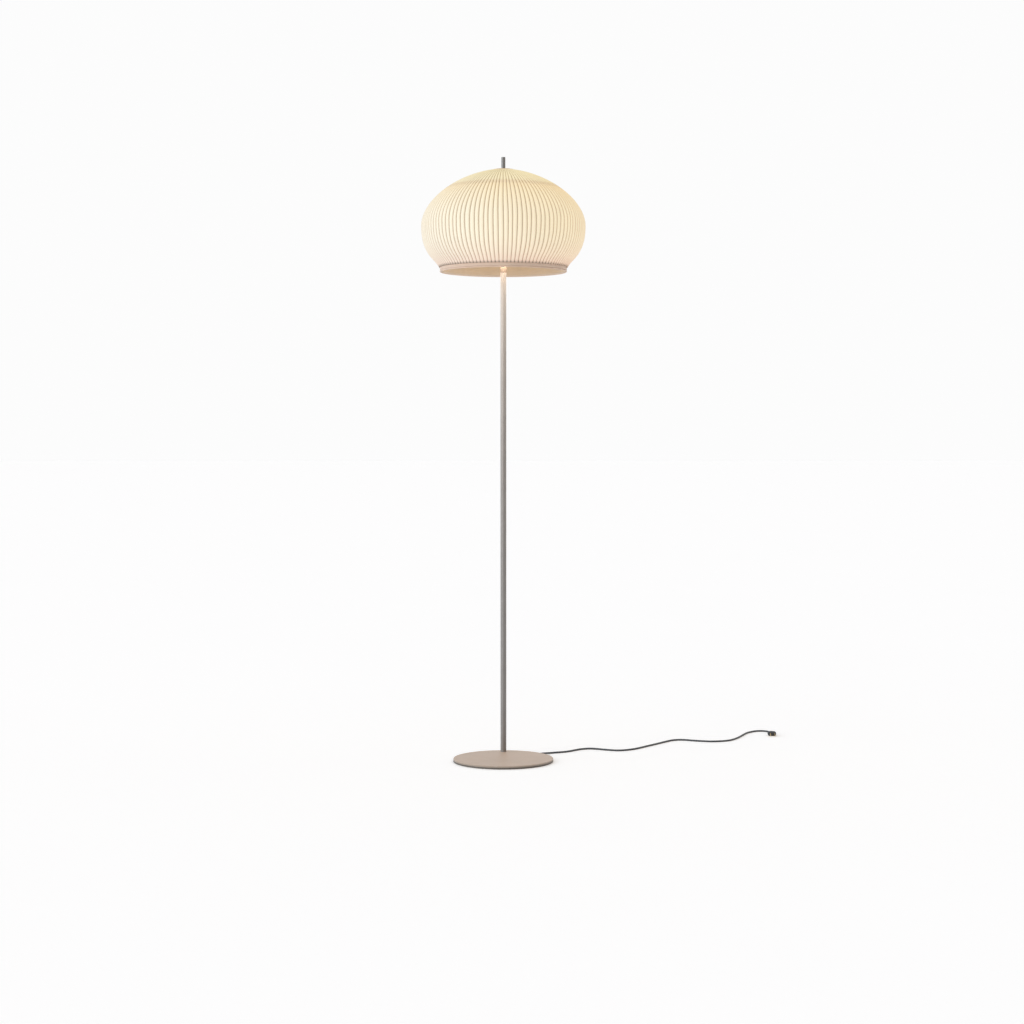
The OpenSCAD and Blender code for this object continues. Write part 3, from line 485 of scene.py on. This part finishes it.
def make_plug():
    """The moulded plug, as superellipse sections along the lead's last direction."""
    end, before = np.array(route[-1]), np.array(route[-2])
    way = np.array([*(end - before)[:2], 0.0])
    way /= np.linalg.norm(way)
    side = np.array([-way[1], way[0], 0.0])
    count = 40
    turn = np.arange(count) * math.tau / count
    c, s = np.cos(turn), np.sin(turn)
    rows = plug_sections()
    points = []
    for along, half_width, half_height, power in rows:
        across = np.sign(c) * np.abs(c) ** (2 / power) * half_width
        up = np.sign(s) * np.abs(s) ** (2 / power) * half_height
        points.append(end + along * way + np.outer(across, side) + np.outer(up, [0, 0, 1]))
    faces = grid_faces(len(rows), count)
    faces.append(tuple(range(count))[::-1])
    faces.append(tuple((len(rows) - 1) * count + k for k in range(count)))
    return add_mesh("plug_moulding", np.vstack(points), faces, "stand", "cord_pvc")


plug = make_plug()
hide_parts("plug_body")


# ---------------------------------------------------------------- pleated shade
# The outline is a superellipse above the widest height and another one below it
CROWN_H, CROWN_P, CROWN_Q = 0.1526, 1.75, 1.8
BELLY_H, BELLY_P = 0.1462, 2.5
BELLY_CUT = 0.107                   # from the widest height down to the band
TUCK_FROM = 0.094                   # from the widest height down to where the cloth turns in
TUCK_CURL = 11.0                    # how fast it turns in, per metre
UPPER_HEM_R = 0.026
WIDEST_Z = CLOTH_Z[0] + BELLY_CUT

CLOTH_T = 0.0009
PLEAT_DEPTH = 0.018                 # share of the radius
HEM_DEPTH, HEM_REACH = 0.55, 0.03   # at a hem the pleats are this share as deep, and how far in
FREE_REACH = 0.06                   # how far in from a hem the pleats wander freely
PLEAT_SHIFT, PLEAT_SPREAD = 0.07, 0.14    # how much their places and depths differ
WANDER = ((0.05, 14), (0.03, 37))   # share of a pleat's width, and radians per metre


def shade_outline(count):
    """Points (radius, height) of the cloth's outer curve at equal steps from the upper hem down,
    the normals there and the length so far. The cloth's end hangs over the band's upper edge."""
    top = math.acos((UPPER_HEM_R / SHADE_R) ** (CROWN_P / 2))
    a = np.linspace(top, 0, 1500)
    crown = np.c_[SHADE_R * np.cos(a) ** (2 / CROWN_P),
                  WIDEST_Z + CROWN_H * np.sin(a) ** (2 / CROWN_Q)]
    a = np.linspace(0, math.asin((TUCK_FROM / BELLY_H) ** (BELLY_P / 2)), 700)[1:]
    belly = np.c_[SHADE_R * np.cos(a) ** (2 / BELLY_P),
                  WIDEST_Z - BELLY_H * np.sin(a) ** (2 / BELLY_P)]
    drop = np.linspace(0, BELLY_CUT + TUCK_DOWN - TUCK_FROM, 80)[1:]
    slope = (belly[-1, 0] - belly[-2, 0]) / (belly[-1, 1] - belly[-2, 1])
    tuck = np.c_[belly[-1, 0] - slope * (drop - TUCK_CURL * drop ** 2), belly[-1, 1] - drop]
    fine = np.vstack([crown, belly, tuck])
    run = np.r_[0, np.cumsum(np.linalg.norm(np.diff(fine, axis=0), axis=1))]
    at = np.linspace(0, run[-1], count)
    points = np.c_[np.interp(at, run, fine[:, 0]), np.interp(at, run, fine[:, 1])]
    way = np.gradient(points, axis=0)
    way /= np.linalg.norm(way, axis=1)[:, None]
    return points, np.c_[-way[:, 1], way[:, 0]], at


def make_cloth():
    """The pleated cloth, and its flat size: the run round its widest ring, and its length."""
    rings, per = 84, 14                      # per: points across one pleat
    outer, normal, run = shade_outline(rings)
    rng = np.random.default_rng(11)
    shift = rng.uniform(-PLEAT_SHIFT, PLEAT_SHIFT, PLEATS)
    depth = 1 + rng.uniform(-PLEAT_SPREAD, PLEAT_SPREAD, PLEATS)
    sway = rng.uniform(0, math.tau, (2, PLEATS))
    u = np.sin(math.pi / 2 * (2 * np.arange(per) / per - 1))     # -1 and 1 are the folds
    groove = 1 - np.sqrt(1 - np.abs(u) ** 2.3 * 0.995)           # 0 on a rib, 1 in a fold
    # The material paints shade and a dimmer glow into the folds from this.
    fold = np.clip((np.abs(u) - 0.5) / 0.5, 0, 1) ** 1.6         # the same, for the material
    length = run[-1]
    hem = np.minimum(run, length - run)
    share = HEM_DEPTH + (1 - HEM_DEPTH) * np.clip(hem / HEM_REACH, 0, 1)
    pleat = PLEAT_DEPTH * outer[:, 0] * share
    join = (depth + np.roll(depth, 1)) / 2
    deep = np.where(u[None, :] < 0, join[:, None], np.roll(join, -1)[:, None])
    points = []
    for skin in (0.0, CLOTH_T):
        for i in range(rings):
            free = np.clip(hem[i] / FREE_REACH, 0, 1)
            wave = sum(size * free * np.sin(phase + rate * run[i])
                       for (size, rate), phase in zip(WANDER, sway))
            edge = (np.arange(PLEATS) + (shift + wave) * (0.4 + 0.6 * free)) * math.tau / PLEATS
            after = np.r_[edge[1:], edge[0] + math.tau]
            turn = edge[:, None] + (after - edge)[:, None] * (u + 1) / 2
            inset = skin + pleat[i] * groove[None, :] * deep
            r = outer[i, 0] - inset * normal[i, 0]
            z = outer[i, 1] - inset * normal[i, 1]
            if i == rings - 1:               # the lower hem is cut level
                r, z = outer[i, 0] - inset / normal[i, 0], np.full_like(r, outer[i, 1])
            points.append(np.c_[(r * np.cos(turn)).ravel(), (r * np.sin(turn)).ravel(), z.ravel()])
    columns = per * PLEATS
    faces = grid_faces(rings, columns)
    back = rings * columns
    faces += [tuple(v + back for v in f[::-1]) for f in faces]
    low = (rings - 1) * columns
    for k in range(columns):
        n = (k + 1) % columns
        faces.append((k, k + back, n + back, n))
        faces.append((low + k, low + n, low + n + back, low + k + back))
    faces = [f[::-1] for f in faces]
    made = add_mesh("pleated_cloth", np.vstack(points), faces, "shade", "shade_cloth")
    mark = made.data.attributes.new("fold", "FLOAT", "POINT")
    mark.data.foreach_set("value", np.tile(fold, PLEATS * len(points)).astype(np.float32))
    round_it = [np.linalg.norm(ring - np.roll(ring, 1, axis=0), axis=1).sum()
                for ring in points[:rings]]
    return made, (max(round_it), length)


cloth, cloth_cut = make_cloth()
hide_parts("shade_fabric")

# ---------------------------------------------------------------- band, collar and tape
BAND_R = BAND_HIGH[0]
BAND_IN = BAND_R - 0.002
ROLL_R = 0.0017
COLLAR_R = BAND_IN - 0.0034
TAPE_W, TAPE_T, TAPE_GAP = 0.006, 0.0007, 0.0001


def make_band():
    """Cloth-covered band: a rolled strip with a rounded lower roll and a soft upper edge."""
    low, high = BAND_LOW[2], BAND_HIGH[2]
    profile = [(BAND_IN, high), (BAND_IN, low + 0.0035)]
    for turn in range(210, 511, 25):
        a = math.radians(turn)
        profile.append((BAND_R - 0.0010 + ROLL_R * math.cos(a), low + ROLL_R + ROLL_R * math.sin(a)))
    profile += [(BAND_R, low + 0.0042), (BAND_R + 0.0002, low + 0.008),
                (BAND_R + 0.0002, high - 0.006), (BAND_R, high - 0.0015),
                (BAND_R - 0.0005, high - 0.0003)]
    return revolved("band_wrap", profile[::-1], 240, "shade", "band_fabric")


def make_collar():
    """Collar of the band's cloth, turned in over the lower roll to cover the frame's wire ends."""
    low = BAND_LOW[2]
    profile = [(BAND_IN + 0.0004, low + 0.0012), (BAND_IN - 0.0012, low + 0.0016),
               (BAND_IN - 0.0026, low + 0.0032), (COLLAR_R, low + 0.0055),
               (COLLAR_R - 0.0001, low + 0.020), (COLLAR_R, low + 0.0335),
               (COLLAR_R + 0.0002, low + 0.0341), (COLLAR_R + 0.0005, low + 0.0341),
               (COLLAR_R + 0.0007, low + 0.0335), (COLLAR_R + 0.0006, low + 0.020),
               (COLLAR_R + 0.0007, low + 0.0058), (BAND_IN - 0.0021, low + 0.0039),
               (BAND_IN - 0.0008, low + 0.0024), (BAND_IN + 0.0004, low + 0.0020)]
    return revolved("band_collar", profile, 200, "shade", "band_fabric", BAND_LINING)


def make_tape():
    """Binding tape over the cloth's upper hem, with a small lip on its inner side."""
    outer, normal, run = shade_outline(900)
    keep = run <= TAPE_W
    top, out = outer[keep][::10], normal[keep][::10]
    upper = top + out * TAPE_T
    lower = top + out * TAPE_GAP
    lip = [top[0] + [-0.0004, -0.0002], top[0] + [-0.0009, 0.0004], top[0] + [-0.0004, 0.0011]]
    profile = [*upper, *lower[::-1], *lip]
    return revolved("hem_tape", profile[::-1], 128, "shade", "shade_cloth",
                    MATERIALS["band_fabric"])


band = make_band()
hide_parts("shade_band")
make_collar()
tape = make_tape()


# ---------------------------------------------------------------- floor and world
FLOOR_REACH = 60.0
FLOOR_LIFT = 0.249                  # what the floor adds to itself where the camera sees it
WORLD_WHITE = 0.975                 # the backdrop, where the camera sees it
WORLD_SIDES = (0.97, 0.90)          # light from the lamp's left and right
WORLD_FRONT = 0.8                   # share of it from the camera's side
DARK_WAY = (0.74, -0.67)            # a darker part of the room, to the camera's right
DARK_SHARE = 0.78


def seen_rays(p):
    """1 for what the camera sees, and for what it sees through something clear."""
    path = p.node("LightPath")
    return p.math("MAXIMUM", path.outputs["Is Camera Ray"], path.outputs["Is Transmission Ray"])


def floor_material():
    """White floor: it takes shadows, and the camera sees it at the backdrop's white."""
    p = Paint("floor")
    tree = p.tree
    out = next(n for n in tree.nodes if n.type == "OUTPUT_MATERIAL")
    tree.nodes.remove(p.shader)
    soft = p.ramp(p.noise(1.5, 2.0), (0.2, (0.900, 0.900, 0.900)), (0.8, (0.905, 0.905, 0.905)))
    matte = p.node("BsdfDiffuse", {"Color": soft})
    extra = p.node("Emission", {"Color": (1.0, 0.875, 0.74, 1),
                                "Strength": p.math("MULTIPLY", seen_rays(p), FLOOR_LIFT)})
    both = p.node("AddShader", {0: matte.outputs[0], 1: extra.outputs[0]})
    tree.links.new(both.outputs[0], out.inputs["Surface"])
    return p.material


def make_floor():
    """A level floor, far wider than the view."""
    corners = [(x * FLOOR_REACH, y * FLOOR_REACH, 0) for x, y in ((-1, -1), (1, -1), (1, 1), (-1, 1))]
    mesh = bpy.data.meshes.new("floor")
    mesh.from_pydata(corners, [], [(0, 1, 2, 3)])
    mesh.materials.append(floor_material())
    made = bpy.data.objects.new("floor", mesh)
    scene.collection.objects.link(made)
    return made


def make_world():
    """A white backdrop that lights the lamp more from its left than from its right and front."""
    world = bpy.data.worlds.new("backdrop")
    world.use_nodes = True
    scene.world = world
    p = Paint.on(world.node_tree)
    x, y, _ = p.split(p.node("TexCoord").outputs["Generated"])
    across = p.math("MULTIPLY_ADD", x, 0.5, 0.5)
    front = p.mapped(y, -1.0, 0.2, WORLD_FRONT, 1.0)
    light = p.math("MULTIPLY", p.level(across, *WORLD_SIDES), front)
    off = p.math("MULTIPLY_ADD", x, DARK_WAY[0], p.math("MULTIPLY", y, DARK_WAY[1]))
    dip = p.mapped(off, 0.50, 0.95, 0.0, DARK_SHARE, interpolation_type="SMOOTHSTEP")
    light = p.math("MULTIPLY", light, p.math("SUBTRACT", 1.0, dip))
    tint = p.mixed(across, (0.83, 0.94, 1.08), (1.0, 0.95, 0.89))
    seen = seen_rays(p)
    unseen = p.math("MULTIPLY", p.math("SUBTRACT", 1.0, seen), light)
    ground = next(n for n in p.tree.nodes if n.type == "BACKGROUND")
    p.feed(ground.inputs["Color"], p.mixed(seen, tint, (1.0, 1.0, 1.0)))
    p.feed(ground.inputs["Strength"],
           p.math("ADD", p.math("MULTIPLY", seen, WORLD_WHITE), unseen))


floor = make_floor()
make_world()


# ---------------------------------------------------------------- lights
# Light that leaves the shade's mouth: (name, power, width, colour, x, height over the band's
# lower edge). The first is inside the mouth, the second is its wide glow on the pole.
MOUTH_LIGHTS = (("mouth_glow", 0.20, 0.10, (1.0, 0.68, 0.46), 0.0, 0.0165),
                ("wide_glow", 36.0, 2.2, (1.0, 0.89, 0.77), -0.35, -0.002))


def add_light(name, kind, energy, colour, place, aim, **settings):
    """A light at place that shines towards aim."""
    light = bpy.data.lights.new(name, kind)
    light.energy = energy
    light.color = colour
    for key, value in settings.items():
        setattr(light, key, value)
    made = bpy.data.objects.new(name, light)
    made.location = place
    made.rotation_euler = (Vector(aim) - Vector(place)).to_track_quat("-Z", "Y").to_euler()
    scene.collection.objects.link(made)
    return made


add_light("key", "SUN", 0.72, (0.90, 0.96, 1.0), (-3.4, -1.8, 2.0), (0, 0, 0.9),
          angle=math.radians(35))

# The mouth's light doesn't fall on these, because the photograph shows none of it there
kept_dark = bpy.data.collections.new("kept_dark")
for made in (floor, mains_lead, plug, NODES["base_plate"], NODES["cord_boot"]):
    kept_dark.objects.link(made)
for name, energy, size, tint, side, height in MOUTH_LIGHTS:
    glow = add_light(name, "AREA", energy, tint, (side, 0, BAND_LOW[2] + height), (side, 0, 0),
                     shape="DISK", size=size)
    glow.visible_camera = False
    glow.light_linking.receiver_collection = kept_dark
for made in kept_dark.collection_objects:
    made.light_linking.link_state = "EXCLUDE"
